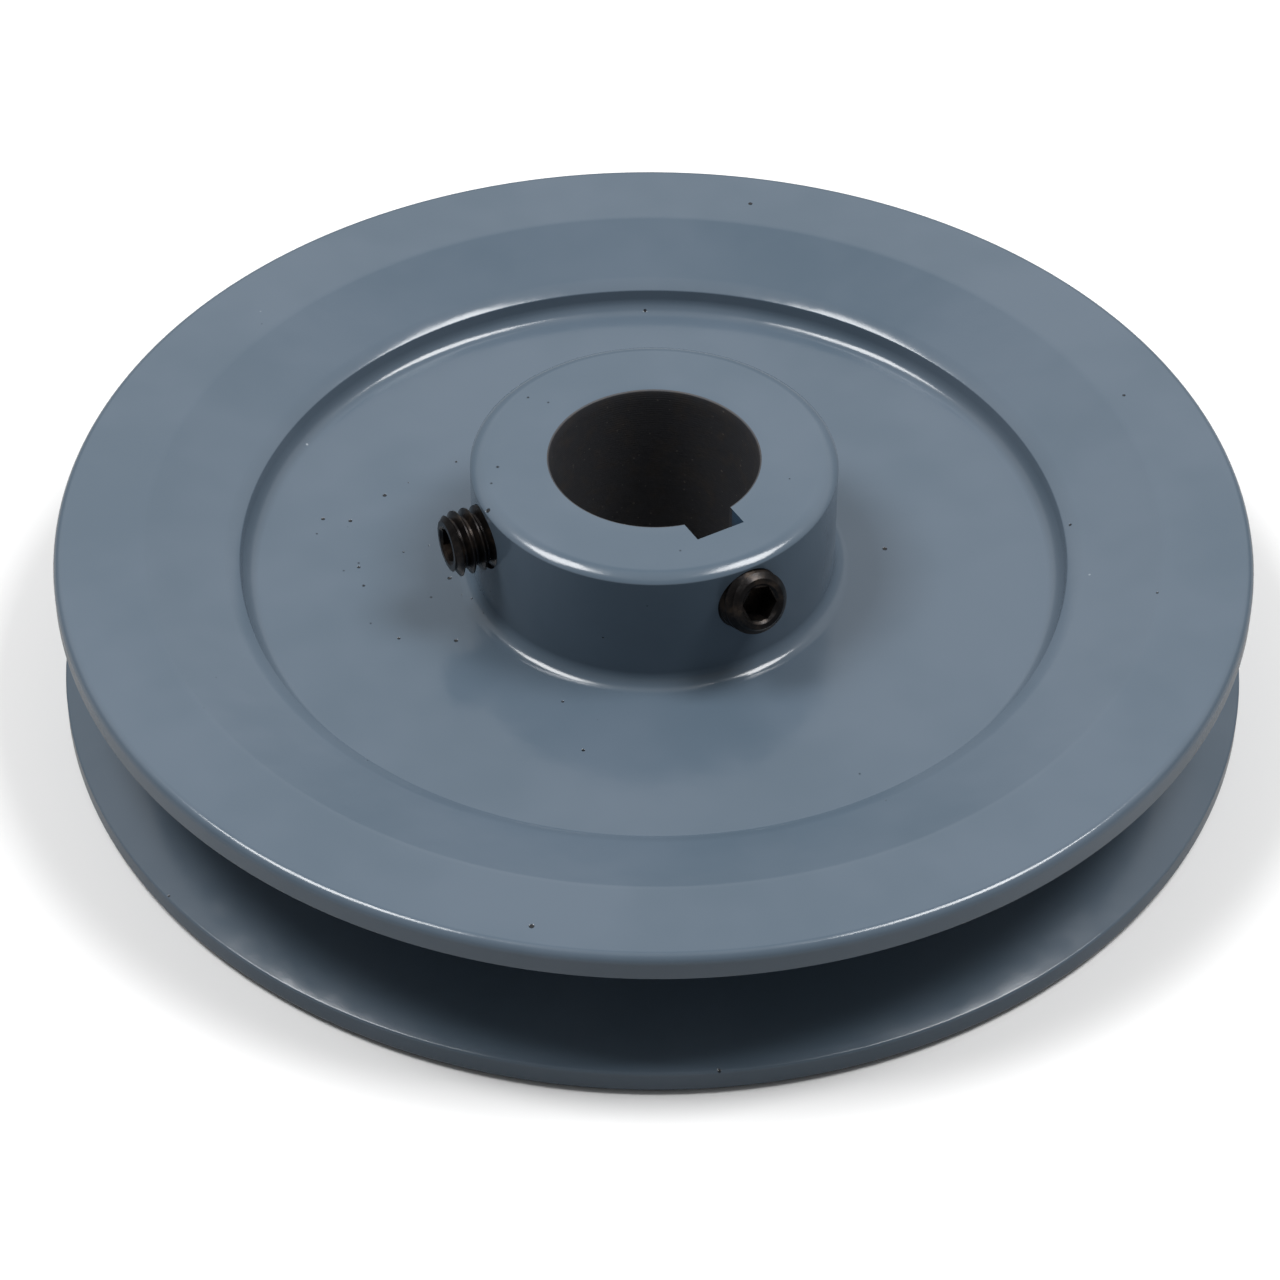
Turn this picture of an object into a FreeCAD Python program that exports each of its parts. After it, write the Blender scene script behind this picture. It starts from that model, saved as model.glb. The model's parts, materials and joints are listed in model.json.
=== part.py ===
import FreeCAD, Part
import math
import os

# A single-groove V-belt pulley: a one-piece cast iron sheave, and the two socket set screws that clamp
# its hub to a keyed shaft. Millimetres, +Z up along the bore. The origin is on the bore's axis, at the
# sheave's rear side face, and the hub stands out towards +Z. The keyway opens towards -Y.

# Rim
rim_d = 146.05             # 5 3/4 in outside diameter
face_width = 22.225        # 7/8 in across the rim
rim_corner_r = 1.2         # rounding where the rim's sides meet its outside
side_flat_width = 10.9     # flat band on each side of the rim, inwards from the outside diameter
side_flat_blend_r = 3.0    # soft turn from that band into the cone

# Belt groove, for an A or B section belt
groove_angle = 34.0        # included angle of the flanks, degrees
groove_top_width = 15.54
groove_depth = 15.3
groove_lip_r = 0.35        # broken edge where a flank meets the outside diameter
groove_root_r = 0.8

# Recess on each side, between the rim and the hub
rim_wall = 7.125           # iron left between the groove's floor and the recess's mouth
cone_depth = 3.0           # drop of the cone from the flat band to the recess
recess_edge_r = 6.5        # soft rounding of the cone's inner edge
recess_edge_slope = 32.0   # where the recess wall cuts that rounding off, degrees from level
recess_lip_drop = 0.35     # of the lip they leave, below the cone's end
recess_lip_r = 0.2
recess_draft = 8.0         # lean of the recess wall, degrees
recess_foot_r = 2.0
web_depth = 6.3            # drop from the rim's side face to the web

# Hub
hub_d = 44.45              # 1 3/4 in
hub_projection = 10.5      # how far the hub stands out of the rim's front face
hub_edge_r = 2.6           # soft rounding of the hub's front end
hub_edge_slope = 44.0      # where the hub's turned side cuts that rounding off, degrees from level
hub_edge_drop = 0.85       # of the lip they leave, below the hub's front end
hub_lip_r = 0.2
hub_rear_edge_r = 0.8
hub_foot_r = 2.0           # fillet between the hub and the web

# Bore and keyway
bore_d = 25.4              # 1 in
bore_edge_r = 0.25
keyway_width = 6.35        # 1/4 in
keyway_depth = 2.9         # from the bore's wall to the keyway's roof, along the keyway's middle

# Set screws, 5/16-18 UNC
screw_major_d = 7.938
screw_pitch = 25.4 / 18
screw_length = 7.94        # 5/16 in, both alike
screw_flats = 3.97         # hexagon socket across flats, 5/32 in
socket_depth = 3.4
socket_chamfer = 0.3
cup_d = 4.3                # rim of the cup point
cup_angle = 118.0          # cone inside the cup, degrees
tapped_hole_clearance = 0.04   # radial room round the thread's crests, because the holes are plain
thread_height = 0.6134     # depth of the thread, as a share of its pitch
thread_root_flat = 0.125   # flat at the thread's root, as a share of its pitch
thread_angle = 60.0        # between the thread's flanks, degrees
drill_tip_angle = 120.0    # cone left by the drill below the socket, degrees
screw_drop = 5.5           # from the hub's front end to where the screws' axes leave the hub's side
keyway_screw_tilt = 22.0   # lean of the keyway's screw, its socket end up, degrees; the other lies level
keyway_screw_stands = 2.9  # from the hub's side to the socket end, along the axis, as the last turn left it
side_screw_stands = 4.6
side_screw_turn = 98.0     # angle round the hub from the keyway's screw to the other, clockwise from above

# Worked out from the sizes above
rim_r = rim_d / 2
hub_r = hub_d / 2
bore_r = bore_d / 2
hub_end_z = face_width + hub_projection
hub_edge_start_r = hub_r - hub_edge_drop / math.tan(math.radians(hub_edge_slope))
groove_mid_z = face_width / 2
groove_bottom_width = groove_top_width - 2 * groove_depth * math.tan(math.radians(groove_angle / 2))
groove_bottom_r = rim_r - groove_depth
recess_mouth_r = groove_bottom_r - rim_wall    # where the cone ends and the recess wall drops
keyway_roof = bore_r + keyway_depth
screw_z = hub_end_z - screw_drop
screw_major_r = screw_major_d / 2
thread_depth = thread_height * screw_pitch
keyway_direction = -90.0
side_screw_direction = keyway_direction - side_screw_turn

PAST = 1.0                 # how far a cutting tool runs past the surface it opens


def rounded_outline(corners):
    """Closed wire in the XZ plane through (radius, z, rounding) corners, each rounded by a tangent arc."""
    points = [FreeCAD.Vector(r, 0, z) for r, z, _ in corners]
    edges = []
    first_start = None
    last_end = None
    for i, (_, _, rounding) in enumerate(corners):
        corner = points[i]
        back = (points[i - 1] - corner).normalize()
        ahead = (points[(i + 1) % len(points)] - corner).normalize()
        half = back.getAngle(ahead) / 2
        reach = rounding / math.tan(half)
        middle = (back + ahead).normalize()
        start = corner + back * reach
        end = corner + ahead * reach
        crown = corner + middle * (rounding / math.sin(half) - rounding)
        if last_end is not None:
            edges.append(Part.LineSegment(last_end, start).toShape())
        else:
            first_start = start
        edges.append(Part.Arc(start, crown, end).toShape())
        last_end = end
    edges.append(Part.LineSegment(last_end, first_start).toShape())
    return Part.Wire(edges)


def revolve(wire):
    """Solid of revolution of a closed XZ wire about the Z axis."""
    return Part.Face(wire).revolve(FreeCAD.Vector(0, 0, 0), FreeCAD.Vector(0, 0, 1), 360)


def side_corners(side_z, inward):
    """The hub's foot, web, recess wall, cone and flat band of one side, from the hub outwards.

    side_z is the height of that side's face, and inward is +1 or -1, towards the rim's middle.
    """
    lip_depth = cone_depth + recess_lip_drop
    foot_r = recess_mouth_r - (web_depth - lip_depth) * math.tan(math.radians(recess_draft))
    cone_fall = cone_depth / (rim_r - side_flat_width - recess_mouth_r)
    edge_width = recess_lip_drop / (math.tan(math.radians(recess_edge_slope)) - cone_fall)
    edge_depth = cone_depth - edge_width * cone_fall
    return [
        (hub_r, side_z + inward * web_depth, hub_foot_r),
        (foot_r, side_z + inward * web_depth, recess_foot_r),
        (recess_mouth_r, side_z + inward * lip_depth, recess_lip_r),
        (recess_mouth_r + edge_width, side_z + inward * edge_depth, recess_edge_r),
        (rim_r - side_flat_width, side_z, side_flat_blend_r),
        (rim_r, side_z, rim_corner_r),
    ]


def groove_corners():
    """The belt groove, from the rear lip to the front lip."""
    return [
        (rim_r, groove_mid_z - groove_top_width / 2, groove_lip_r),
        (groove_bottom_r, groove_mid_z - groove_bottom_width / 2, groove_root_r),
        (groove_bottom_r, groove_mid_z + groove_bottom_width / 2, groove_root_r),
        (rim_r, groove_mid_z + groove_top_width / 2, groove_lip_r),
    ]


def on_screw_axis(shape, direction, tilt, distance):
    """Lays a shape modelled along +Z on a screw's axis.

    direction is the way that the axis points, in degrees round the hub, and tilt its lean upwards. The
    shape's own origin goes at that distance along the axis from the hub's side.
    """
    placed = shape.copy()
    placed.translate(FreeCAD.Vector(0, 0, distance))
    placed.rotate(FreeCAD.Vector(0, 0, 0), FreeCAD.Vector(0, 1, 0), 90 - tilt)
    placed.translate(FreeCAD.Vector(hub_r, 0, screw_z))
    placed.rotate(FreeCAD.Vector(0, 0, 0), FreeCAD.Vector(0, 0, 1), direction)
    return placed


def make_sheave():
    """The rim with its groove, the web and the bored, keyed and tapped hub, cast in one piece."""
    corners = [(bore_r, 0, bore_edge_r), (hub_r, 0, hub_rear_edge_r)]
    corners += side_corners(0, 1)
    corners += groove_corners()
    corners += reversed(side_corners(face_width, -1))
    corners += [(hub_r, hub_end_z - hub_edge_drop, hub_lip_r), (hub_edge_start_r, hub_end_z, hub_edge_r)]
    corners += [(bore_r, hub_end_z, bore_edge_r)]
    body = revolve(rounded_outline(corners))
    keyway_corner = FreeCAD.Vector(-keyway_width / 2, -keyway_roof, -PAST)
    keyway = Part.makeBox(keyway_width, keyway_roof, hub_end_z + 2 * PAST, keyway_corner)
    body = body.cut(keyway)
    hole = Part.makeCylinder(screw_major_r + tapped_hole_clearance, hub_r + screw_major_d)
    for direction, tilt in ((keyway_direction, keyway_screw_tilt), (side_screw_direction, 0)):
        body = body.cut(on_screw_axis(hole, direction, tilt, -hub_r))
    return body


def screw_blank():
    """Solid of the screw before its thread is cut: cup point at z = 0, chamfered socket end at the top."""
    cup_r = cup_d / 2
    cup_depth = cup_r / math.tan(math.radians(cup_angle / 2))
    point_chamfer = screw_major_r - cup_r
    outline = Part.makePolygon([
        FreeCAD.Vector(0, 0, cup_depth),
        FreeCAD.Vector(cup_r, 0, 0),
        FreeCAD.Vector(screw_major_r, 0, point_chamfer),
        FreeCAD.Vector(screw_major_r, 0, screw_length - thread_depth),
        FreeCAD.Vector(screw_major_r - thread_depth, 0, screw_length),
        FreeCAD.Vector(0, 0, screw_length),
        FreeCAD.Vector(0, 0, cup_depth),
    ])
    return revolve(outline)


def thread_cutter():
    """The helical V between the thread's turns, run past both ends of the screw by a turn or more."""
    root_r = screw_major_r - thread_depth
    outer_r = screw_major_r + thread_depth / 20
    half_root = thread_root_flat * screw_pitch / 2
    half_mouth = half_root + (outer_r - root_r) * math.tan(math.radians(thread_angle / 2))
    start = -screw_pitch
    tooth = Part.makePolygon([
        FreeCAD.Vector(root_r, 0, start - half_root),
        FreeCAD.Vector(root_r, 0, start + half_root),
        FreeCAD.Vector(outer_r, 0, start + half_mouth),
        FreeCAD.Vector(outer_r, 0, start - half_mouth),
        FreeCAD.Vector(root_r, 0, start - half_root),
    ])
    one_turn = Part.makeHelix(screw_pitch, screw_pitch, screw_major_r)
    path = []
    for turn in range(math.ceil(screw_length / screw_pitch) + 2):
        edge = one_turn.copy()
        edge.translate(FreeCAD.Vector(0, 0, start + turn * screw_pitch))
        path += edge.Edges
    return Part.Wire(path).makePipeShell([tooth], True, True)


def hex_socket():
    """The hexagonal hole in the screw's end, with its chamfered mouth and the drill's cone below."""
    corner_r = screw_flats / math.sqrt(3)
    corners = []
    for i in range(7):
        angle = math.radians(60 * i)
        corners.append(FreeCAD.Vector(corner_r * math.cos(angle), corner_r * math.sin(angle), 0))
    hexagon = Part.Face(Part.makePolygon(corners))
    hexagon.translate(FreeCAD.Vector(0, 0, screw_length - socket_depth))
    flats = hexagon.extrude(FreeCAD.Vector(0, 0, socket_depth + PAST))
    drill_r = screw_flats / 2
    drill_tip = drill_r / math.tan(math.radians(drill_tip_angle / 2))
    cone_start = FreeCAD.Vector(0, 0, screw_length - socket_depth - drill_tip)
    cone = Part.makeCone(0, drill_r, drill_tip, cone_start)
    mouth_start = FreeCAD.Vector(0, 0, screw_length - socket_chamfer)
    mouth_height = socket_chamfer + PAST
    mouth = Part.makeCone(corner_r, corner_r + mouth_height, mouth_height, mouth_start)
    return flats.fuse([cone, mouth])


def make_set_screw():
    """A cup point set screw along +Z, with its point at z = 0."""
    return screw_blank().cut(thread_cutter()).cut(hex_socket())


set_screw = make_set_screw()
keyway_screw_point = keyway_screw_stands - screw_length
side_screw_point = side_screw_stands - screw_length
nodes = {
    "sheave": make_sheave(),
    "keyway_set_screw": on_screw_axis(set_screw, keyway_direction, keyway_screw_tilt, keyway_screw_point),
    "side_set_screw": on_screw_axis(set_screw, side_screw_direction, 0, side_screw_point),
}

os.makedirs("parts", exist_ok=True)
for name, shape in nodes.items():
    shape.exportStep(f"parts/{name}.step")
    print(name, "valid", shape.isValid(), "solids", len(shape.Solids), "volume mm3", round(shape.Volume, 1))
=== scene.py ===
"""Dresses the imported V-belt pulley: the enamelled sheave, its two set screws and the studio."""

import json
import logging
import math
from dataclasses import dataclass, field
from enum import Enum

import bmesh
import bpy
from mathutils import Matrix, Vector


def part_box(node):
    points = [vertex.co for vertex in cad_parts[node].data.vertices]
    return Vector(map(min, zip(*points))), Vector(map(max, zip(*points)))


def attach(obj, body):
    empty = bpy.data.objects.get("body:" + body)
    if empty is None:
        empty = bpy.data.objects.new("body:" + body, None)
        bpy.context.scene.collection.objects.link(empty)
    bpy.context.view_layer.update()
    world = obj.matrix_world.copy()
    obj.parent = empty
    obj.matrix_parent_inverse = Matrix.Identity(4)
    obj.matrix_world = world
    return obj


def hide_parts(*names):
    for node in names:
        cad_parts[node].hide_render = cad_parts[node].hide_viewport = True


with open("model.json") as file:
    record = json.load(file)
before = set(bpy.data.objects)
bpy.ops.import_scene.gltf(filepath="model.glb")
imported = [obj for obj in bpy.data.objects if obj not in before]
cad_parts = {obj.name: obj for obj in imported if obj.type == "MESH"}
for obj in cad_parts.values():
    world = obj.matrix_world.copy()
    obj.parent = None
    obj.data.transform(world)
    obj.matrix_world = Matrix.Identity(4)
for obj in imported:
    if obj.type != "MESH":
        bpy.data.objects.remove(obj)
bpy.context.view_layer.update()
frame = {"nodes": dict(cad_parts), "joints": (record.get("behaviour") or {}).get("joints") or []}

log = logging.getLogger("pulley")

Colour = tuple[float, float, float, float]

WELD = 1e-6                # metres, under which two vertices are one
CREASE = math.radians(32)  # edges that turn by more than this stay crisp
PAST = 0.001               # metres, how far a cutting tool runs past the surface it opens
TOOL_FLATS = 96            # flats round a screw's blank and round the drill of its hole


# ---------------------------------------------------------------------------------------------- meshes


@dataclass(frozen=True)
class Corner:
    """A corner of a turned outline, in metres.

    Attributes:
        radius: distance from the turning axis.
        height: height along the axis.
        rounding: radius of the arc that rounds the corner, 0 for a sharp one.
        segments: straight pieces in that arc.
    """

    radius: float
    height: float
    rounding: float = 0.0
    segments: int = 8

    def point(self) -> Vector:
        """Places the corner in the XZ plane.

        Returns:
            Its place.
        """
        return Vector((self.radius, 0.0, self.height))


class Turned:
    """Meshes turned about the Z axis from an outline of corners."""

    @staticmethod
    def outline(bm: bmesh.types.BMesh, corners: list[Corner], closed: bool = True) -> None:
        """Draws a wire through the corners and rounds each one that asks for it.

        Args:
            bm: the mesh that gets the wire.
            corners: the outline, in order.
            closed: whether the last corner joins the first.
        """
        verts = [bm.verts.new(corner.point()) for corner in corners]
        ends = verts[1:] + verts[:1] if closed else verts[1:]
        for start, end in zip(verts, ends):
            bm.edges.new((start, end))
        for i, corner in enumerate(corners):
            if corner.rounding == 0.0:
                continue
            here = corner.point()
            back = corners[i - 1].point() - here
            ahead = corners[(i + 1) % len(corners)].point() - here
            reach = corner.rounding / math.tan(back.angle(ahead) / 2)
            bmesh.ops.bevel(
                bm, geom=[verts[i]], offset=reach, offset_type="OFFSET", affect="VERTICES",
                segments=corner.segments, profile=0.5, material=-1, clamp_overlap=False,
            )

    @staticmethod
    def split_runs(bm: bmesh.types.BMesh, longest: float) -> None:
        """Divides each straight edge of a wire so that no piece is longer than a given length.

        Args:
            bm: the mesh that holds the wire.
            longest: the longest piece that stays whole, in metres.
        """
        for edge in list(bm.edges):
            cuts = math.ceil(edge.calc_length() / longest) - 1
            if cuts > 0:
                bmesh.ops.subdivide_edges(bm, edges=[edge], cuts=cuts)

    @staticmethod
    def spin(bm: bmesh.types.BMesh, steps: int) -> None:
        """Turns everything in a mesh once round the Z axis.

        Args:
            bm: the mesh that holds the outline.
            steps: how many flats go round.
        """
        bmesh.ops.spin(
            bm, geom=list(bm.verts) + list(bm.edges), cent=(0, 0, 0), axis=(0, 0, 1), dvec=(0, 0, 0),
            angle=math.tau, steps=steps, use_merge=True, use_duplicate=False,
        )
        Turned.tidy(bm)

    @staticmethod
    def tidy(bm: bmesh.types.BMesh) -> None:
        """Merges doubles and turns the faces outwards.

        Args:
            bm: the mesh.
        """
        bmesh.ops.remove_doubles(bm, verts=list(bm.verts), dist=WELD)
        bmesh.ops.recalc_face_normals(bm, faces=list(bm.faces))


def to_object(bm: bmesh.types.BMesh, name: str) -> bpy.types.Object:
    """Makes an object at the origin from a mesh under construction.

    Args:
        bm: the finished mesh, which is freed.
        name: the object's name.

    Returns:
        The new object, in the scene.
    """
    mesh = bpy.data.meshes.new(name)
    bm.to_mesh(mesh)
    bm.free()
    piece = bpy.data.objects.new(name, mesh)
    bpy.context.scene.collection.objects.link(piece)
    return piece


def carve(piece: bpy.types.Object, tool: bpy.types.Object, operation: str = "DIFFERENCE") -> None:
    """Cuts a tool out of a piece, or keeps what they share, and throws the tool away.

    Faces that the tool leaves keep the tool's material.

    Args:
        piece: the object whose mesh changes.
        tool: the closed object that cuts.
        operation: DIFFERENCE or INTERSECT.
    """
    cut = piece.modifiers.new("cut", "BOOLEAN")
    cut.operation = operation
    cut.object = tool
    cut.solver = "EXACT"
    cut.material_mode = "TRANSFER"
    graph = bpy.context.evaluated_depsgraph_get()
    shaped = bpy.data.meshes.new_from_object(piece.evaluated_get(graph))
    piece.modifiers.clear()
    old = piece.data
    name = old.name
    piece.data = shaped
    bpy.data.meshes.remove(old)
    shaped.name = name
    spent = tool.data
    bpy.data.objects.remove(tool)
    bpy.data.meshes.remove(spent)


def shade(piece: bpy.types.Object) -> None:
    """Smooths a piece's shading, with crisp creases and flats that stay flat.

    Args:
        piece: the object.
    """
    mesh = piece.data
    mesh.shade_smooth()
    mesh.set_sharp_from_angle(angle=CREASE)
    weighted = piece.modifiers.new("flat faces lead", "WEIGHTED_NORMAL")
    weighted.mode = "FACE_AREA"
    weighted.keep_sharp = True


# ------------------------------------------------------------------------------------------- materials


class Nodes:
    """Shorthand for laying out shader nodes in one tree.

    Attributes:
        tree: the material's or the group's node tree.
    """

    MIX_FACTOR = 0   # a Mix node's sockets for colours share their names with others, so they go by number
    MIX_FIRST = 6
    MIX_SECOND = 7
    MIX_RESULT = 2

    def __init__(self, tree: bpy.types.NodeTree) -> None:
        """Starts on a tree.

        Args:
            tree: the material's or the group's node tree.
        """
        self.tree = tree

    def add(self, kind: str, **values: object) -> bpy.types.Node:
        """Adds a node and sets its properties.

        Args:
            kind: the node's type, such as ShaderNodeMath.
            **values: properties of the node.

        Returns:
            The new node.
        """
        node = self.tree.nodes.new(kind)
        for key, value in values.items():
            setattr(node, key, value)
        return node

    def feed(self, socket: bpy.types.NodeSocket, value: object) -> None:
        """Links a socket to another, or sets its value.

        Args:
            socket: the input socket.
            value: an output socket, or a number or colour.
        """
        if isinstance(value, bpy.types.NodeSocket):
            self.tree.links.new(value, socket)
        else:
            socket.default_value = value

    def math(self, operation: str, *values: object) -> bpy.types.NodeSocket:
        """Adds a Math node.

        Args:
            operation: its operation.
            *values: up to three inputs, numbers or sockets.

        Returns:
            Its result.
        """
        node = self.add("ShaderNodeMath", operation=operation)
        for socket, value in zip(node.inputs, values):
            self.feed(socket, value)
        return node.outputs[0]

    def ramp(
        self, value: object, low: float, high: float, to_low: object = 0.0, to_high: object = 1.0,
    ) -> bpy.types.NodeSocket:
        """Steps smoothly from one value to another.

        Args:
            value: the socket that is read.
            low: where the step starts.
            high: where it ends.
            to_low: the result below the start.
            to_high: the result above the end.

        Returns:
            The result socket.
        """
        node = self.add("ShaderNodeMapRange", interpolation_type="SMOOTHSTEP")
        for socket, given in zip(node.inputs, (value, low, high, to_low, to_high)):
            self.feed(socket, given)
        return node.outputs[0]

    def mix(self, mask: object, first: object, second: object) -> bpy.types.NodeSocket:
        """Mixes two colours.

        Args:
            mask: 0 gives the first colour and 1 the second.
            first: colour or socket.
            second: colour or socket.

        Returns:
            The mixed colour.
        """
        node = self.add("ShaderNodeMix", data_type="RGBA")
        self.feed(node.inputs[self.MIX_FACTOR], mask)
        self.feed(node.inputs[self.MIX_FIRST], first)
        self.feed(node.inputs[self.MIX_SECOND], second)
        return node.outputs[self.MIX_RESULT]

    def noise(
        self, place: object, scale: object, detail: float = 2.0, rough: float = 0.5,
    ) -> bpy.types.NodeSocket:
        """Reads a noise texture at a place.

        Args:
            place: the coordinates.
            scale: features per metre.
            detail: octaves.
            rough: how strong the finer octaves are.

        Returns:
            The noise's value, from 0 to 1.
        """
        node = self.add("ShaderNodeTexNoise")
        self.feed(node.inputs["Vector"], place)
        self.feed(node.inputs["Scale"], scale)
        self.feed(node.inputs["Detail"], detail)
        self.feed(node.inputs["Roughness"], rough)
        return node.outputs["Fac"]


def rgb(red: float, green: float, blue: float) -> Colour:
    """Turns an sRGB colour into a linear one.

    Args:
        red: from 0 to 255.
        green: from 0 to 255.
        blue: from 0 to 255.

    Returns:
        The linear colour, opaque.
    """
    def linear(part: float) -> float:
        """Undoes the sRGB curve for one part."""
        share = part / 255
        return share / 12.92 if share <= 0.04045 else ((share + 0.055) / 1.055) ** 2.4

    return (linear(red), linear(green), linear(blue), 1.0)


class Effects:
    """Node groups that several finishes share, each built once."""

    ROUND_EDGE = 0.06    # how soft a speck's edge is, as a share of its cell
    LEAST_SIZE = 0.35    # the smallest specks, as a share of the size that is asked for

    _built: dict[str, bpy.types.NodeTree] = {}

    @classmethod
    def _group(
        cls, name: str, inputs: dict[str, float], outputs: list[str],
    ) -> tuple[Nodes, bpy.types.Node, bpy.types.Node]:
        """Makes an empty group with named sockets.

        Args:
            name: the group's name.
            inputs: each input's name and value. Each group also has the input Place.
            outputs: names of the value outputs.

        Returns:
            The layout helper, the group's input node and its output node.
        """
        tree = bpy.data.node_groups.new(name, "ShaderNodeTree")
        tree.interface.new_socket("Place", in_out="INPUT", socket_type="NodeSocketVector")
        for key, value in inputs.items():
            socket = tree.interface.new_socket(key, in_out="INPUT", socket_type="NodeSocketFloat")
            socket.default_value = value
        for key in outputs:
            tree.interface.new_socket(key, in_out="OUTPUT", socket_type="NodeSocketFloat")
        nodes = Nodes(tree)
        return nodes, nodes.add("NodeGroupInput"), nodes.add("NodeGroupOutput")

    @classmethod
    def skin(cls) -> bpy.types.NodeTree:
        """Makes the height of a sprayed or blackened skin: long waves, orange peel and fine grain.

        Returns:
            The group, with the output Height.
        """
        if "skin" not in cls._built:
            inputs = {
                "Wave": 0.5, "Wave Scale": 60.0,
                "Peel": 0.3, "Peel Scale": 900.0,
                "Grain": 0.1, "Grain Scale": 4000.0,
            }
            nodes, given, out = cls._group("skin", inputs, ["Height"])
            total = None
            for name in ("Wave", "Peel", "Grain"):
                noise = nodes.noise(given.outputs["Place"], given.outputs[f"{name} Scale"])
                part = nodes.math("MULTIPLY", noise, given.outputs[name])
                total = part if total is None else nodes.math("ADD", total, part)
            nodes.feed(out.inputs["Height"], total)
            cls._built["skin"] = nodes.tree
        return cls._built["skin"]

    @classmethod
    def specks(cls) -> bpy.types.NodeTree:
        """Makes a mask of small round specks scattered at random, such as pinholes or dust.

        Returns:
            The group, with the output Mask.
        """
        if "specks" not in cls._built:
            nodes, given, out = cls._group("specks", {"Scale": 400.0, "Share": 0.1, "Size": 0.2}, ["Mask"])
            cells = nodes.add("ShaderNodeTexVoronoi", feature="F1")
            nodes.feed(cells.inputs["Vector"], given.outputs["Place"])
            nodes.feed(cells.inputs["Scale"], given.outputs["Scale"])
            split = nodes.add("ShaderNodeSeparateColor")
            nodes.feed(split.inputs[0], cells.outputs["Color"])
            chosen = nodes.math("LESS_THAN", split.outputs["Red"], given.outputs["Share"])
            growth = nodes.math("ADD", split.outputs["Green"], cls.LEAST_SIZE)
            size = nodes.math("MULTIPLY", given.outputs["Size"], growth)
            near = nodes.math("SUBTRACT", size, cells.outputs["Distance"])
            round_spot = nodes.ramp(near, 0.0, cls.ROUND_EDGE)
            nodes.feed(out.inputs["Mask"], nodes.math("MULTIPLY", round_spot, chosen))
            cls._built["specks"] = nodes.tree
        return cls._built["specks"]


@dataclass(frozen=True)
class Finish:
    """What every finish has: a name and a Principled shader that reads Object coordinates.

    Attributes:
        name: the material's name.
    """

    name: str

    def start(self) -> tuple[bpy.types.Material, Nodes, bpy.types.Node, bpy.types.NodeSocket]:
        """Makes the empty material.

        Returns:
            The material, its layout helper, its shader and its Object coordinates.
        """
        material = bpy.data.materials.new(self.name)
        material.use_nodes = True
        nodes = Nodes(material.node_tree)
        shader = material.node_tree.nodes["Principled BSDF"]
        place = nodes.add("ShaderNodeTexCoord").outputs["Object"]
        return material, nodes, shader, place

    @staticmethod
    def use(
        nodes: Nodes, group: bpy.types.NodeTree, place: bpy.types.NodeSocket, output: str, **values: object,
    ) -> bpy.types.NodeSocket:
        """Places a shared effect in a material.

        Args:
            nodes: the material's layout helper.
            group: the effect.
            place: coordinates that it reads.
            output: the output that is wanted.
            **values: its inputs, with _ for a space.

        Returns:
            That output's socket.
        """
        node = nodes.add("ShaderNodeGroup", node_tree=group)
        nodes.feed(node.inputs["Place"], place)
        for key, value in values.items():
            nodes.feed(node.inputs[key.replace("_", " ")], value)
        return node.outputs[output]

    @staticmethod
    def bump(nodes: Nodes, shader: bpy.types.Node, height: bpy.types.NodeSocket, distance: float) -> None:
        """Gives the shader a bump.

        Args:
            nodes: the material's layout helper.
            shader: the Principled shader.
            height: height from 0 to 1.
            distance: what 1 means, in metres.
        """
        node = nodes.add("ShaderNodeBump")
        node.inputs["Distance"].default_value = distance
        nodes.feed(node.inputs["Height"], height)
        nodes.feed(shader.inputs["Normal"], node.outputs["Normal"])


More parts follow.
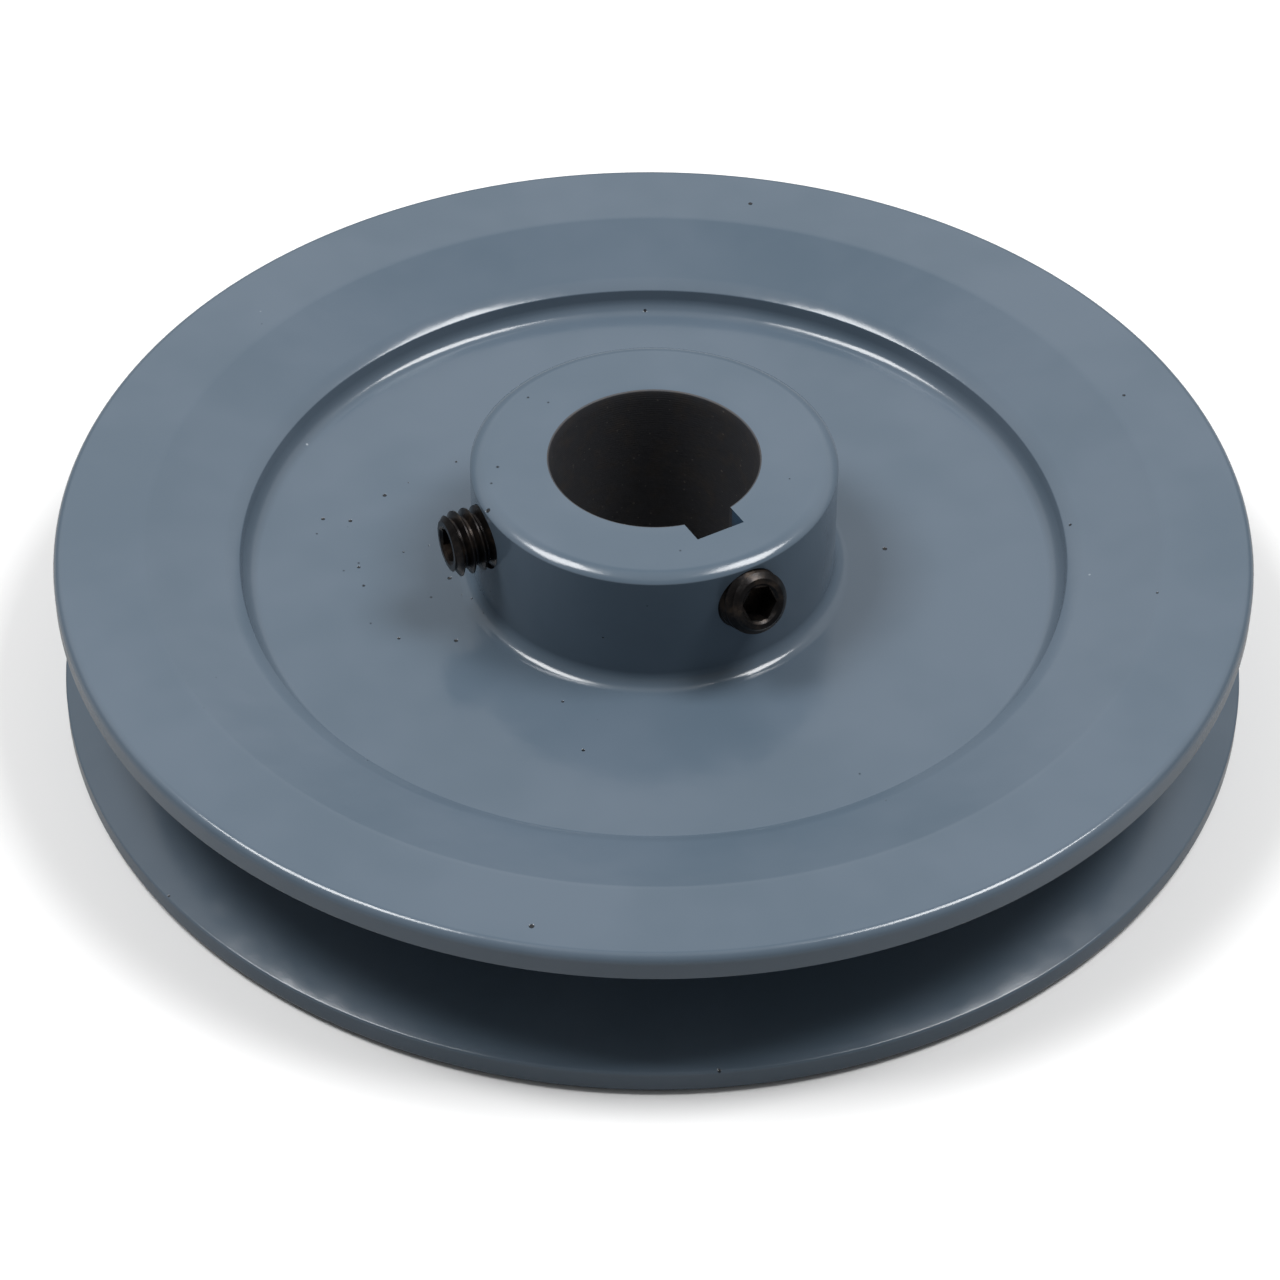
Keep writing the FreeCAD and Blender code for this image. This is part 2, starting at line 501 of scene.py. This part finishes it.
@dataclass(frozen=True)
class Enamel(Finish):
    """Blue-grey gloss enamel sprayed over a casting.

    Attributes:
        light: the enamel where it is palest.
        dark: the enamel where it is darkest.
        pit: the pinholes and black spatter.
        dust: the pale dust.
        dust_strength: how far dust covers the enamel, from 0 to 1.
        smoothest: least roughness.
        roughest: greatest roughness.
        spatter_place: the middle of the spattered stretch, beside the hub.
        spatter_reach: radius of that stretch, in metres.
        spattered: share of the specks that show in its middle.
        sparse: share of the specks that show elsewhere.
        relief: height of the orange peel, in metres.
    """

    name: str = "blue_grey_enamel"
    light: Colour = rgb(86, 99, 112)
    dark: Colour = rgb(80, 94, 107)
    pit: Colour = rgb(16, 20, 25)
    dust: Colour = rgb(190, 198, 206)
    smoothest: float = 0.13
    roughest: float = 0.21
    dust_strength: float = 0.6
    spatter_place: tuple[float, float, float] = (-0.022, 0.016, 0.022)
    spatter_reach: float = 0.022
    spattered: float = 0.75
    sparse: float = 0.02
    relief: float = 0.0001

    def build(self) -> bpy.types.Material:
        """Lays out the material: tone drift, pinholes, dust and orange peel.

        Returns:
            The material.
        """
        material, nodes, shader, place = self.start()
        drift = nodes.noise(place, 35.0, 3.0, 0.6)
        colour = nodes.mix(nodes.ramp(drift, 0.35, 0.65), self.dark, self.light)
        away = nodes.add("ShaderNodeVectorMath", operation="DISTANCE")
        nodes.feed(away.inputs[0], place)
        nodes.feed(away.inputs[1], self.spatter_place)
        reach = self.spatter_reach
        share = nodes.ramp(away.outputs["Value"], 0.5 * reach, reach, self.spattered, self.sparse)
        pits = self.use(nodes, Effects.specks(), place, "Mask", Scale=500.0, Share=share, Size=0.14)
        dust = self.use(nodes, Effects.specks(), place, "Mask", Scale=260.0, Share=0.06, Size=0.06)
        colour = nodes.mix(pits, colour, self.pit)
        colour = nodes.mix(nodes.math("MULTIPLY", dust, self.dust_strength), colour, self.dust)
        nodes.feed(shader.inputs["Base Color"], colour)
        rough = nodes.ramp(nodes.noise(place, 240.0, 4.0, 0.6), 0.2, 0.8, self.smoothest, self.roughest)
        nodes.feed(shader.inputs["Roughness"], rough)
        skin = self.use(
            nodes, Effects.skin(), place, "Height",
            Wave=1.2, Wave_Scale=90.0, Peel=0.12, Peel_Scale=500.0, Grain=0.02, Grain_Scale=2600.0,
        )
        height = nodes.math("SUBTRACT", skin, nodes.math("MULTIPLY", pits, 0.5))
        self.bump(nodes, shader, height, self.relief)
        shader.inputs["IOR"].default_value = 1.5
        return material


@dataclass(frozen=True)
class BareIron(Finish):
    """Bored grey iron, darkened by oil, with faint rust and enamel mist in the keyway's mouth.

    Attributes:
        iron: the clean iron.
        rust: its freckles.
        painted_glint_colour: painted highlights, bright specks mixed into the iron's colour.
        mist: the enamel's mist.
        mouth: height of the hub's front end, in metres.
        keyway_from: distance from the bore's axis where the keyway starts, in metres.
        mist_reach: how far down the mist settled, in metres.
        relief: height of the tool's rings, in metres.
    """

    name: str = "bare_bored_iron"
    iron: Colour = rgb(62, 63, 67)
    rust: Colour = rgb(66, 63, 62)
    painted_glint_colour: Colour = rgb(128, 122, 116)
    mist: Colour = rgb(58, 84, 108)
    mouth: float = 0.0
    keyway_from: float = 0.0
    mist_reach: float = 0.0035
    relief: float = 0.00003

    def mist_mask(self, nodes: Nodes, place: bpy.types.NodeSocket) -> bpy.types.NodeSocket:
        """Finds where the enamel's mist settled: in the keyway, near the hub's front end.

        Args:
            nodes: the material's layout helper.
            place: its Object coordinates.

        Returns:
            The mask.
        """
        split = nodes.add("ShaderNodeSeparateXYZ")
        nodes.feed(split.inputs[0], place)
        ragged = nodes.math("MULTIPLY", nodes.noise(place, 500.0, 3.0, 0.6), self.mist_reach)
        height = nodes.math("ADD", split.outputs["Z"], ragged)
        near_mouth = nodes.ramp(height, self.mouth - self.mist_reach, self.mouth + 0.4 * self.mist_reach)
        in_keyway = nodes.math("LESS_THAN", split.outputs["Y"], -self.keyway_from)
        return nodes.math("MULTIPLY", near_mouth, in_keyway)

    def build(self) -> bpy.types.Material:
        """Lays out the material: dark iron, rust freckles, painted highlights as bright specks in its
        colour, and the boring tool's fine rings.

        Returns:
            The material.
        """
        material, nodes, shader, place = self.start()
        stain = nodes.ramp(nodes.noise(place, 420.0, 5.0, 0.7), 0.45, 0.7)
        colour = nodes.mix(stain, self.iron, self.rust)
        # painted highlights: bright specks mixed into the iron's colour that stand in for sparkle
        painted_glint_mask = self.use(nodes, Effects.specks(), place, "Mask", Scale=1500.0, Share=0.25, Size=0.2)
        colour = nodes.mix(nodes.math("MULTIPLY", painted_glint_mask, 0.5), colour, self.painted_glint_colour)
        nodes.feed(shader.inputs["Base Color"], nodes.mix(self.mist_mask(nodes, place), colour, self.mist))
        rough = nodes.ramp(nodes.noise(place, 900.0, 3.0, 0.6), 0.2, 0.8, 0.5, 0.68)
        nodes.feed(shader.inputs["Roughness"], rough)
        nodes.feed(shader.inputs["Metallic"], nodes.ramp(stain, 0.0, 1.0, 0.2, 0.1))
        rings = nodes.add("ShaderNodeTexWave", wave_type="BANDS", bands_direction="Z")
        nodes.feed(rings.inputs["Vector"], place)
        rings.inputs["Scale"].default_value = 900.0
        rings.inputs["Distortion"].default_value = 1.5
        skin = self.use(
            nodes, Effects.skin(), place, "Height",
            Wave=0.1, Wave_Scale=200.0, Peel=0.5, Peel_Scale=1500.0, Grain=0.4, Grain_Scale=5000.0,
        )
        height = nodes.math("ADD", skin, nodes.math("MULTIPLY", rings.outputs["Fac"], 0.5))
        self.bump(nodes, shader, height, self.relief)
        return material


@dataclass(frozen=True)
class BlackOxide(Finish):
    """Blackened alloy steel with a trace of oil, browned in patches.

    Attributes:
        black: the sound finish.
        brown: the patches.
        relief: height of its grain, in metres.
    """

    name: str = "black_oxide_steel"
    black: Colour = rgb(32, 30, 30)
    brown: Colour = rgb(58, 49, 42)
    relief: float = 0.00002

    def build(self) -> bpy.types.Material:
        """Lays out the material: black steel, brown patches and a fine grain.

        Returns:
            The material.
        """
        material, nodes, shader, place = self.start()
        patch = nodes.noise(place, 380.0, 4.0, 0.65)
        colour = nodes.mix(nodes.ramp(patch, 0.45, 0.7), self.black, self.brown)
        nodes.feed(shader.inputs["Base Color"], colour)
        rough = nodes.ramp(nodes.noise(place, 1300.0, 3.0, 0.6), 0.2, 0.8, 0.24, 0.42)
        nodes.feed(shader.inputs["Roughness"], rough)
        nodes.feed(shader.inputs["Metallic"], nodes.ramp(patch, 0.3, 0.8, 0.85, 0.6))
        skin = self.use(
            nodes, Effects.skin(), place, "Height",
            Wave=0.2, Wave_Scale=300.0, Peel=0.5, Peel_Scale=1800.0, Grain=0.3, Grain_Scale=6000.0,
        )
        self.bump(nodes, shader, skin, self.relief)
        return material


@dataclass(frozen=True)
class StudioPaper(Finish):
    """Matt white paper under the pulley, which throws little light back up at it.

    Attributes:
        white: the paper.
        mottled: its slightly darker places.
        bounced: what the pulley sees of it.
    """

    name: str = "studio_paper"
    white: Colour = (0.86, 0.86, 0.86, 1.0)
    mottled: Colour = (0.84, 0.84, 0.84, 1.0)
    bounced: Colour = (0.38, 0.38, 0.38, 1.0)

    def build(self) -> bpy.types.Material:
        """Lays out the material: white with the faintest mottling, greyer for light on its way up.

        Returns:
            The material.
        """
        material, nodes, shader, place = self.start()
        colour = nodes.mix(nodes.noise(place, 12.0, 3.0, 0.5), self.mottled, self.white)
        seen = nodes.add("ShaderNodeLightPath").outputs["Is Camera Ray"]
        nodes.feed(shader.inputs["Base Color"], nodes.mix(seen, self.bounced, colour))
        shader.inputs["Roughness"].default_value = 0.9
        return material


# ---------------------------------------------------------------------------------------------- pieces


@dataclass
class Sheave:
    """The cast sheave: rim, belt groove, web and hub, with its bore, keyway and tapped holes.

    Sizes are in metres, slopes in degrees, and both match the CAD node. The overall sizes are read from the
    frame.
    """

    rim_radius: float
    hub_end: float
    screws: list["SetScrew"]
    node: str = "sheave"
    rim_corner: float = 0.0012
    side_flat: float = 0.0109
    side_flat_blend: float = 0.003
    groove_angle: float = 34.0
    groove_top: float = 0.01554
    groove_depth: float = 0.0153
    groove_lip: float = 0.00035
    groove_root: float = 0.0008
    recess_mouth: float = 0.0506
    cone_depth: float = 0.003
    recess_edge: float = 0.0065
    recess_edge_slope: float = 32.0
    recess_lip_drop: float = 0.00035
    recess_lip: float = 0.0002
    recess_draft: float = 8.0
    recess_foot: float = 0.002
    web_depth: float = 0.0063
    hub_radius: float = 0.022225
    hub_projection: float = 0.0105
    hub_edge: float = 0.0026
    hub_edge_slope: float = 44.0
    hub_edge_drop: float = 0.00085
    hub_lip: float = 0.0002
    hub_rear_edge: float = 0.0008
    hub_foot: float = 0.002
    bore_radius: float = 0.0127
    bore_edge: float = 0.00025
    keyway_width: float = 0.00635
    keyway_roof: float = 0.0156
    hole_room: float = 0.00004
    flats_round: int = 288
    longest_run: float = 0.0016

    @property
    def face_width(self) -> float:
        """The rim's width, up to the front face that the hub stands out of."""
        return self.hub_end - self.hub_projection

    def side(self, face: float, inward: float) -> list[Corner]:
        """Draws one side from the hub outwards: foot, web, recess wall, cone and flat band.

        Args:
            face: height of that side's face.
            inward: +1 or -1, the way to the rim's middle.

        Returns:
            The corners.
        """
        lip_depth = self.cone_depth + self.recess_lip_drop
        foot = self.recess_mouth - (self.web_depth - lip_depth) * math.tan(math.radians(self.recess_draft))
        cone_fall = self.cone_depth / (self.rim_radius - self.side_flat - self.recess_mouth)
        edge_width = self.recess_lip_drop / (math.tan(math.radians(self.recess_edge_slope)) - cone_fall)
        edge_depth = self.cone_depth - edge_width * cone_fall
        return [
            Corner(self.hub_radius, face + inward * self.web_depth, self.hub_foot, 10),
            Corner(foot, face + inward * self.web_depth, self.recess_foot, 10),
            Corner(self.recess_mouth, face + inward * lip_depth, self.recess_lip, 5),
            Corner(self.recess_mouth + edge_width, face + inward * edge_depth, self.recess_edge, 8),
            Corner(self.rim_radius - self.side_flat, face, self.side_flat_blend, 4),
            Corner(self.rim_radius, face, self.rim_corner, 10),
        ]

    def groove(self) -> list[Corner]:
        """Draws the belt groove, from the rear lip to the front one.

        Returns:
            The corners.
        """
        middle = self.face_width / 2
        narrowing = self.groove_depth * math.tan(math.radians(self.groove_angle / 2))
        floor = self.rim_radius - self.groove_depth
        return [
            Corner(self.rim_radius, middle - self.groove_top / 2, self.groove_lip, 4),
            Corner(floor, middle - self.groove_top / 2 + narrowing, self.groove_root, 6),
            Corner(floor, middle + self.groove_top / 2 - narrowing, self.groove_root, 6),
            Corner(self.rim_radius, middle + self.groove_top / 2, self.groove_lip, 4),
        ]

    def turned_body(self) -> bpy.types.Object:
        """Turns the whole casting about the bore's axis, before the keyway and holes are cut.

        Returns:
            The casting, with its bore in the second material.
        """
        edge_start = self.hub_radius - self.hub_edge_drop / math.tan(math.radians(self.hub_edge_slope))
        corners = [
            Corner(self.bore_radius, 0.0, self.bore_edge, 3),
            Corner(self.hub_radius, 0.0, self.hub_rear_edge, 6),
            *self.side(0.0, 1.0),
            *self.groove(),
            *reversed(self.side(self.face_width, -1.0)),
            Corner(self.hub_radius, self.hub_end - self.hub_edge_drop, self.hub_lip, 5),
            Corner(edge_start, self.hub_end, self.hub_edge, 10),
            Corner(self.bore_radius, self.hub_end, self.bore_edge, 3),
        ]
        bm = bmesh.new()
        Turned.outline(bm, corners)
        Turned.split_runs(bm, self.longest_run)
        Turned.spin(bm, self.flats_round)
        bare = self.bore_radius + self.bore_edge
        for face in bm.faces:
            if face.calc_center_median().xy.length < bare:
                face.material_index = 1
        return to_object(bm, "sheave_casting")

    def keyway_tool(self) -> bpy.types.Object:
        """Makes the broach: a bar that cuts the keyway along the whole bore.

        Returns:
            The tool.
        """
        size = Vector((self.keyway_width, self.keyway_roof, self.hub_end + 2 * PAST))
        middle = Vector((0, -self.keyway_roof / 2, self.hub_end / 2))
        bm = bmesh.new()
        placing = Matrix.Translation(middle) @ Matrix.Diagonal(size).to_4x4()
        bmesh.ops.create_cube(bm, size=1.0, matrix=placing)
        for face in bm.faces:
            face.material_index = 1
        return to_object(bm, "keyway_tool")

    def hole_tool(self, screw: "SetScrew") -> bpy.types.Object:
        """Makes the drill for one tapped hole.

        Args:
            screw: the screw that goes in it.

        Returns:
            The tool, lying along the screw's axis from inside the bore to the screw's socket end.
        """
        bm = bmesh.new()
        radius = screw.major_radius + self.hole_room
        run = self.bore_radius + screw.length
        corners = [Corner(0, 0), Corner(radius, 0), Corner(radius, run), Corner(0, run)]
        Turned.outline(bm, corners, closed=False)
        Turned.spin(bm, TOOL_FLATS)
        for face in bm.faces:
            face.material_index = 1
        bm.transform(screw.placing(screw.point - self.bore_radius))
        return to_object(bm, "hole_tool")

    def build(self) -> bpy.types.Object:
        """Builds and dresses the casting, which stands for the CAD node.

        Returns:
            The casting.
        """
        piece = self.turned_body()
        bare = BareIron(mouth=self.hub_end, keyway_from=self.bore_radius + self.bore_edge)
        finishes = [Enamel().build(), bare.build()]
        for material in finishes:
            piece.data.materials.append(material)
        tools = [self.keyway_tool()] + [self.hole_tool(screw) for screw in self.screws]
        for tool in tools:
            for material in finishes:
                tool.data.materials.append(material)
            carve(piece, tool)
        shade(piece)
        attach(piece, "pulley")
        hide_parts(self.node)
        return piece


class ScrewPlace(Enum):
    """Where a set screw goes: its CAD node, its body and its joint."""

    OVER_KEYWAY = ("keyway_set_screw", "keyway_screw", "keyway_screw_travel")
    AT_SIDE = ("side_set_screw", "side_screw", "side_screw_travel")


@dataclass
class SetScrew:
    """A cup point socket set screw with a real helical thread.

    Sizes are in metres and angles in degrees, except socket_turn, which is in radians. thread_height is the
    thread's depth as a share of its pitch.
    """

    place: ScrewPlace
    socket_turn: float = 0.0
    major_radius: float = 0.003969
    pitch: float = 0.0254 / 18
    flats: float = 0.00397
    socket_depth: float = 0.0034
    socket_chamfer: float = 0.0003
    cup_radius: float = 0.00215
    cup_angle: float = 118.0
    thread_height: float = 0.6134
    flank_angle: float = 30.0
    steps_a_turn: int = 72
    spare_turns: int = 4
    cut_clear: float = 0.0002
    cup_lip: float = 0.0001
    mouth_inset: float = 0.0001
    end_edge: float = 0.0002
    axis: Vector = field(init=False)
    root: Vector = field(init=False)
    point: float = field(init=False)
    length: float = field(init=False)

    def __post_init__(self) -> None:
        """Reads the screw's axis from its joint, and its place and length from its CAD node."""
        node, _, joint = self.place.value
        found = next(j for j in frame["joints"] if j["name"] == joint)
        self.axis = Vector(found["axis"]).normalized()
        across = self.axis.cross(Vector((0, 0, 1))).normalized()
        upwards = across.cross(self.axis)
        verts = frame["nodes"][node].data.vertices
        spans = {}
        for name, way in (("along", self.axis), ("across", across), ("upwards", upwards)):
            reach = [vert.co.dot(way) for vert in verts]
            spans[name] = (min(reach), max(reach))
        self.root = across * (sum(spans["across"]) / 2) + upwards * (sum(spans["upwards"]) / 2)
        self.point = spans["along"][0]
        self.length = spans["along"][1] - spans["along"][0]

    @property
    def thread_depth(self) -> float:
        """The thread's depth."""
        return self.thread_height * self.pitch

    @property
    def socket_corner(self) -> float:
        """Radius of the hexagon's corners."""
        return self.flats / math.sqrt(3)

    def placing(self, out: float) -> Matrix:
        """Lays something modelled along +Z on this screw's axis.

        Args:
            out: how far out along the axis its foot goes, in metres, from the line's nearest place to
                the frame's origin.

        Returns:
            The matrix.
        """
        turn = self.axis.to_track_quat("Z", "Y").to_matrix().to_4x4()
        return Matrix.Translation(self.root + self.axis * out) @ turn

    def threaded_rod(self) -> bpy.types.Object:
        """Winds a rod with a helical thread that runs past both ends of the screw.

        Returns:
            The rod, closed at both ends.
        """
        root = self.major_radius - self.thread_depth
        rise = self.thread_depth * math.tan(math.radians(self.flank_angle))
        crest = self.pitch / 8
        valley = self.pitch - crest - 2 * rise
        bm = bmesh.new()
        corners = [
            Corner(root, 0.0),
            Corner(root, valley),
            Corner(self.major_radius, valley + rise),
            Corner(self.major_radius, valley + rise + crest),
            Corner(root, self.pitch),
        ]
        Turned.outline(bm, corners, closed=False)
        turns = math.ceil(self.length / self.pitch) + self.spare_turns
        bmesh.ops.spin(
            bm, geom=list(bm.verts) + list(bm.edges), cent=(0, 0, 0), axis=(0, 0, 1),
            dvec=(0, 0, self.pitch / self.steps_a_turn), angle=math.tau * turns,
            steps=self.steps_a_turn * turns, use_merge=False, use_duplicate=False,
        )
        start = -(self.spare_turns + 1) / 2 * self.pitch
        bmesh.ops.translate(bm, vec=(0, 0, start), verts=list(bm.verts))
        bmesh.ops.remove_doubles(bm, verts=list(bm.verts), dist=WELD)
        past = self.pitch / 2
        for level, way in ((-past, -1), (self.length + past, 1)):
            bmesh.ops.bisect_plane(
                bm, geom=list(bm.verts) + list(bm.edges) + list(bm.faces),
                plane_co=(0, 0, level), plane_no=(0, 0, way), clear_outer=True,
            )
        bmesh.ops.holes_fill(bm, edges=[edge for edge in bm.edges if edge.is_boundary], sides=0)
        bmesh.ops.recalc_face_normals(bm, faces=list(bm.faces))
        return to_object(bm, self.place.value[0] + "_threaded")

    def blank(self) -> bpy.types.Object:
        """Turns the screw's outer form: cup point, chamfers and flat end, without thread or socket.

        Returns:
            The blank.
        """
        cup_depth = self.cup_radius / math.tan(math.radians(self.cup_angle / 2))
        chamfer = self.major_radius - self.cup_radius
        depth = self.thread_depth
        over = self.cut_clear
        corners = [
            Corner(0.0, cup_depth),
            Corner(self.cup_radius, 0.0, self.cup_lip, 3),
            Corner(self.major_radius + over, chamfer + over),
            Corner(self.major_radius + over, self.length - depth - over),
            Corner(self.major_radius - depth, self.length, self.end_edge, 3),
            Corner(0.0, self.length),
        ]
        bm = bmesh.new()
        Turned.outline(bm, corners, closed=False)
        Turned.spin(bm, TOOL_FLATS)
        return to_object(bm, "blank")

    def socket_tool(self) -> bpy.types.Object:
        """Makes the hexagon punch.

        Returns:
            The tool.
        """
        run = self.socket_depth + PAST
        floor = self.length - self.socket_depth
        radius = self.socket_corner
        placing = Matrix.Rotation(self.socket_turn, 4, "Z") @ Matrix.Translation((0, 0, floor + run / 2))
        bm = bmesh.new()
        bmesh.ops.create_cone(
            bm, cap_ends=True, segments=6, radius1=radius, radius2=radius, depth=run, matrix=placing,
        )
        return to_object(bm, "socket_tool")

    def mouth_tool(self) -> bpy.types.Object:
        """Makes the countersink of the socket's mouth.

        Returns:
            The tool.
        """
        run = self.socket_chamfer + PAST
        start = self.length - self.socket_chamfer
        narrow = self.socket_corner - self.mouth_inset
        bm = bmesh.new()
        bmesh.ops.create_cone(
            bm, cap_ends=True, segments=48, radius1=narrow, radius2=narrow + run, depth=run,
            matrix=Matrix.Translation((0, 0, start + run / 2)),
        )
        return to_object(bm, "mouth_tool")

    def build(self, material: bpy.types.Material) -> bpy.types.Object:
        """Builds, dresses and places the screw, which stands for its CAD node.

        Args:
            material: its finish.

        Returns:
            The screw.
        """
        node, body, _ = self.place.value
        piece = self.threaded_rod()
        carve(piece, self.blank(), "INTERSECT")
        carve(piece, self.socket_tool())
        carve(piece, self.mouth_tool())
        piece.data.transform(self.placing(self.point))
        piece.data.materials.clear()
        piece.data.materials.append(material)
        shade(piece)
        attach(piece, body)
        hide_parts(node)
        return piece


# ---------------------------------------------------------------------------------------------- studio


def towards(azimuth: float, elevation: float) -> Vector:
    """Makes a unit vector.

    Args:
        azimuth: degrees round from +X.
        elevation: degrees up.

    Returns:
        The vector.
    """
    turn = math.radians(azimuth)
    rise = math.radians(elevation)
    return Vector((math.cos(turn) * math.cos(rise), math.sin(turn) * math.cos(rise), math.sin(rise)))


@dataclass
class Softbox:
    """A rectangular studio light aimed at the pulley.

    Attributes:
        name: its name.
        turn: degrees to the camera's right, seen from above.
        rise: degrees above the floor.
        distance: metres from the pulley.
        width: metres across.
        length: metres up.
        power: watts.
    """

    name: str
    turn: float
    rise: float = 62.0
    distance: float = 0.9
    width: float = 0.3
    length: float = 0.36
    power: float = 5.6

    def build(self, camera_azimuth: float, target: Vector) -> bpy.types.Object:
        """Places the light.

        Args:
            camera_azimuth: direction from the pulley to the camera, in degrees from +X.
            target: the point that it faces.

        Returns:
            The light's object.
        """
        light = bpy.data.lights.new(self.name, "AREA")
        light.shape = "RECTANGLE"
        light.size = self.width
        light.size_y = self.length
        light.energy = self.power
        away = towards(camera_azimuth + self.turn, self.rise)
        lamp = bpy.data.objects.new(self.name, light)
        lamp.location = target + away * self.distance
        lamp.rotation_euler = (-away).to_track_quat("-Z", "Y").to_euler()
        bpy.context.scene.collection.objects.link(lamp)
        return lamp


@dataclass
class Studio:
    """The camera, the lights, the room and the paper floor.

    Attributes:
        rim_front: height of the rim's front face, in metres.
        camera_azimuth: degrees from +X to the camera.
        camera_elevation: degrees that the camera stands above the rim's front face.
        distance: metres from the middle of that face to the camera.
        lens: focal length, in millimetres.
        sensor: sensor's width, in millimetres.
        aim_right: metres that the camera aims to the right of the middle.
        aim_down: metres that it aims below it.
        roll: degrees that it is turned about its own axis.
        softbox_turn: degrees between the camera and each softbox, seen from above.
        backdrop: brightness of the backdrop behind the pulley.
        ceiling: brightness overhead.
        room: brightness elsewhere.
        floor_half: half the paper's width, in metres.
        floor_gap: metres between the paper and the pulley.
    """

    rim_front: float
    camera_azimuth: float = -120.6
    camera_elevation: float = 40.824
    distance: float = 0.52494
    lens: float = 120.87
    sensor: float = 36.0
    aim_right: float = -0.001588
    aim_down: float = 0.019335
    roll: float = 0.336
    softbox_turn: float = 92.0
    backdrop: float = 0.78
    ceiling: float = 0.6
    room: float = 0.19
    floor_half: float = 3.0
    floor_gap: float = 0.0001

    def camera(self) -> bpy.types.Object:
        """Places the camera in front of the pulley, looking down on it.

        Returns:
            The camera's object.
        """
        centre = Vector((0, 0, self.rim_front))
        right = towards(self.camera_azimuth + 90, 0)
        target = centre + right * self.aim_right - Vector((0, 0, self.aim_down))
        place = centre + towards(self.camera_azimuth, self.camera_elevation) * self.distance
        data = bpy.data.cameras.new("camera")
        data.lens = self.lens
        data.sensor_width = self.sensor
        data.clip_start = 0.01
        data.clip_end = 20
        camera = bpy.data.objects.new("camera", data)
        turn = (target - place).to_track_quat("-Z", "Y").to_matrix().to_4x4()
        roll = Matrix.Rotation(math.radians(self.roll), 4, "Z")
        camera.matrix_world = Matrix.Translation(place) @ turn @ roll
        bpy.context.scene.collection.objects.link(camera)
        bpy.context.scene.camera = camera
        return camera

    def lights(self) -> None:
        """Places a softbox on each side."""
        target = Vector((0, 0, self.rim_front))
        for name, turn in (("left_softbox", -self.softbox_turn), ("right_softbox", self.softbox_turn)):
            Softbox(name, turn).build(self.camera_azimuth, target)

    def surroundings(self) -> None:
        """Sets the room: dim all round, with a backdrop behind the pulley and a pale ceiling."""
        world = bpy.data.worlds.new("room")
        world.use_nodes = True
        nodes = Nodes(world.node_tree)
        background = world.node_tree.nodes["Background"]
        way = nodes.add("ShaderNodeTexCoord").outputs["Generated"]
        split = nodes.add("ShaderNodeSeparateXYZ")
        nodes.feed(split.inputs[0], way)
        height = split.outputs["Z"]
        ahead = nodes.add("ShaderNodeVectorMath", operation="DOT_PRODUCT")
        nodes.feed(ahead.inputs[0], way)
        ahead.inputs[1].default_value = towards(self.camera_azimuth + 180, 0)
        behind = nodes.ramp(ahead.outputs["Value"], -0.2, 0.4)
        above = nodes.ramp(height, 0.3, 0.5)
        below = nodes.ramp(height, 0.76, 0.9, 1.0, 0.0)
        band = nodes.math("MULTIPLY", nodes.math("MULTIPLY", above, below), behind)
        top = nodes.ramp(height, 0.9, 0.97, self.room, self.ceiling)
        strength = nodes.math("MULTIPLY_ADD", band, self.backdrop - self.room, top)
        nodes.feed(background.inputs["Strength"], strength)
        background.inputs["Color"].default_value = (1, 1, 1, 1)
        bpy.context.scene.world = world

    def floor(self) -> bpy.types.Object:
        """Lays the paper just under the pulley.

        Returns:
            The paper.
        """
        bm = bmesh.new()
        bmesh.ops.create_grid(bm, x_segments=1, y_segments=1, size=self.floor_half)
        bmesh.ops.translate(bm, vec=(0, 0, -self.floor_gap), verts=list(bm.verts))
        paper = to_object(bm, "paper")
        paper.data.materials.append(StudioPaper().build())
        return paper

    def build(self) -> None:
        """Sets up the whole studio."""
        bpy.context.scene.view_settings.view_transform = "Standard"
        self.camera()
        self.lights()
        self.surroundings()
        self.floor()


def main() -> None:
    """Builds the pieces and the studio in order, and reports each one."""
    logging.basicConfig(level=logging.INFO, format="%(name)s: %(message)s")
    _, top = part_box("sheave")
    screws = [
        SetScrew(ScrewPlace.OVER_KEYWAY, socket_turn=0.3),
        SetScrew(ScrewPlace.AT_SIDE, socket_turn=0.1),
    ]
    sheave = Sheave(rim_radius=top.x, hub_end=top.z, screws=screws)
    Studio(rim_front=sheave.face_width).build()
    steel = BlackOxide().build()
    pieces = [sheave.build()] + [screw.build(steel) for screw in screws]
    for piece in pieces:
        log.info("%s: %d faces", piece.name, len(piece.data.polygons))


if __name__ == "__main__":
    main()
